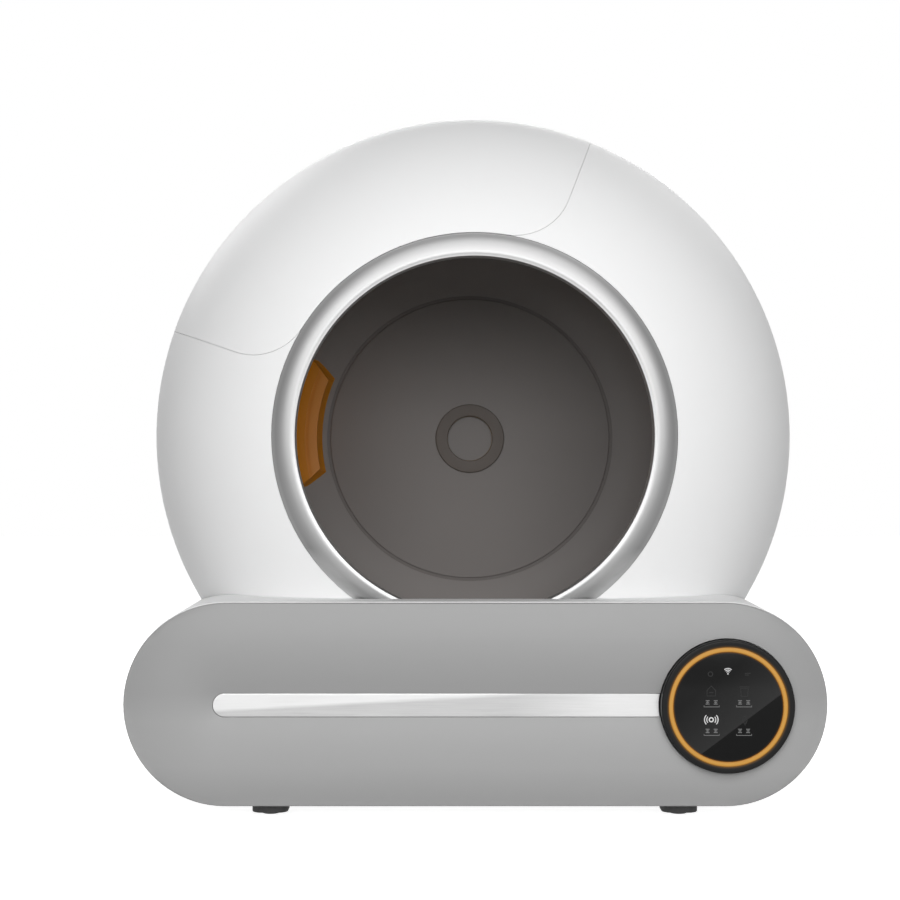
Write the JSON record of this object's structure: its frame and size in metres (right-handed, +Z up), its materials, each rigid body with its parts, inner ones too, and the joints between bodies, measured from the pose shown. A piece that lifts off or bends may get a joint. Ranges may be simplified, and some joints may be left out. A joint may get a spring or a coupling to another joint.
{
  "type": "self cleaning litter box",
  "caption": "Self cleaning litter box: round globe with a silver entry ring, turning drum inside, pill shaped base with a pull-out waste drawer and a round control pod.",
  "frame": {"origin": "on the floor, under the middle of the whole box", "axes": "+Z up, the entry and the drawer face -Y, +X to the right as seen from the front"},
  "size_m": [0.5998, 0.524, 0.626],
  "materials": {
    "white_shell": "satin white moulded plastic",
    "fascia_grey": "smooth satin mid grey plastic",
    "satin_silver": "satin silver",
    "brushed_strip": "finely brushed",
    "drum_grey": "warm dark grey fine texture",
    "hub_dark": "dark grey fine texture",
    "sieve_orange": "satin orange",
    "pod_black": "polished black",
    "touch_glass": "polished black printed glass",
    "amber_light": "diffusing amber, lit",
    "foot_rubber": "matt dark grey rubber",
    "tyre_rubber": "matt black rubber",
    "steel": "plain steel",
    "bright_magnet": "nickel plated",
    "inner_grey": "matt grey moulded plastic",
    "natural_plastic": "natural bearing plastic",
    "gear_plastic": "natural gear plastic",
    "bronze": "oiled bronze",
    "felt": "dark felt",
    "circuit": "green solder resist",
    "black_plastic": "matt black plastic",
    "white_ring": "pale grey plastic"
  },
  "bodies": {
    "base": {"base_housing": "white_shell", "base_floor": "inner_grey", "rubber_feet": "foot_rubber", "load_cells": "steel", "drawer_runner_left": "natural_plastic", "drawer_runner_right": "natural_plastic", "cradle_deck": "inner_grey", "roller_pins": "steel", "globe_front_shell": "white_shell", "globe_rear_shell": "white_shell", "hatch_frame": "inner_grey", "frame_magnets": "bright_magnet", "entry_ring": "satin_silver", "entry_seal": "felt", "rear_axle": "steel", "axle_screws": "steel", "motor_bracket": "steel", "worm_gearbox": "black_plastic", "drive_motor": "steel", "position_sensor": "circuit", "main_board": "circuit", "board_standoffs": "natural_plastic", "power_inlet": "black_plastic", "button_body": "black_plastic", "service_cover": "white_shell", "cover_screws": "steel", "pod_case": "pod_black", "pod_light_ring": "amber_light", "pod_glass": "touch_glass", "pod_circuit_board": "circuit", "pod_board_posts": "natural_plastic"},
    "drum": {"drum_front_shell": "drum_grey", "drum_rear_shell": "drum_grey", "drum_back_disc": "drum_grey", "hub_bush": "bronze", "hub_ring": "hub_dark", "drum_track": "natural_plastic", "port_frame": "inner_grey", "sieve": "sieve_orange", "drum_gear": "gear_plastic", "position_magnet": "bright_magnet"},
    "pinion": {"drive_pinion": "gear_plastic", "pinion_shaft": "steel"},
    "roller_left": {"roller_hub_left": "natural_plastic", "roller_tyre_left": "tyre_rubber"},
    "roller_right": {"roller_hub_right": "natural_plastic", "roller_tyre_right": "tyre_rubber"},
    "drawer": {"drawer_tray": "inner_grey", "bag_ring": "white_ring", "drawer_front": "fascia_grey", "drawer_carrier": "inner_grey", "drawer_strip": "brushed_strip"},
    "hatch": {"globe_hatch": "white_shell"},
    "button": {"power_button": "pod_black"}
  },
  "joints": [
    {"name": "drum_turn", "type": "hinge", "parent": "base", "child": "drum", "pos_m": [0, 0, 0.3285], "axis": [0, -1, 0], "continuous": true},
    {"name": "pinion_turn", "type": "hinge", "parent": "base", "child": "pinion", "pos_m": [0, 0.208, 0.156], "axis": [0, -1, 0], "continuous": true},
    {"name": "roller_left_turn", "type": "hinge", "parent": "base", "child": "roller_left", "pos_m": [-0.16026, -0.084, 0.12338], "axis": [0, -1, 0], "continuous": true},
    {"name": "roller_right_turn", "type": "hinge", "parent": "base", "child": "roller_right", "pos_m": [0.16026, -0.084, 0.12338], "axis": [0, -1, 0], "continuous": true},
    {"name": "drawer_slide", "type": "slide", "parent": "base", "child": "drawer", "axis": [0, -1, 0], "range_m": [0, 0.36]},
    {"name": "hatch_lift", "type": "slide", "parent": "base", "child": "hatch", "axis": [-0.4139, 0, 0.9103], "range_m": [0, 0.14]},
    {"name": "button_press", "type": "slide", "parent": "base", "child": "button", "axis": [0, -1, 0], "range_m": [0, 0.0015], "stiffness_N_per_m": 400}
  ],
  "couplings": [
    {"joint": "pinion_turn", "follows": "drum_turn", "ratio": -6.6667},
    {"joint": "roller_left_turn", "follows": "drum_turn", "ratio": -17.571},
    {"joint": "roller_right_turn", "follows": "drum_turn", "ratio": -17.571}
  ]
}
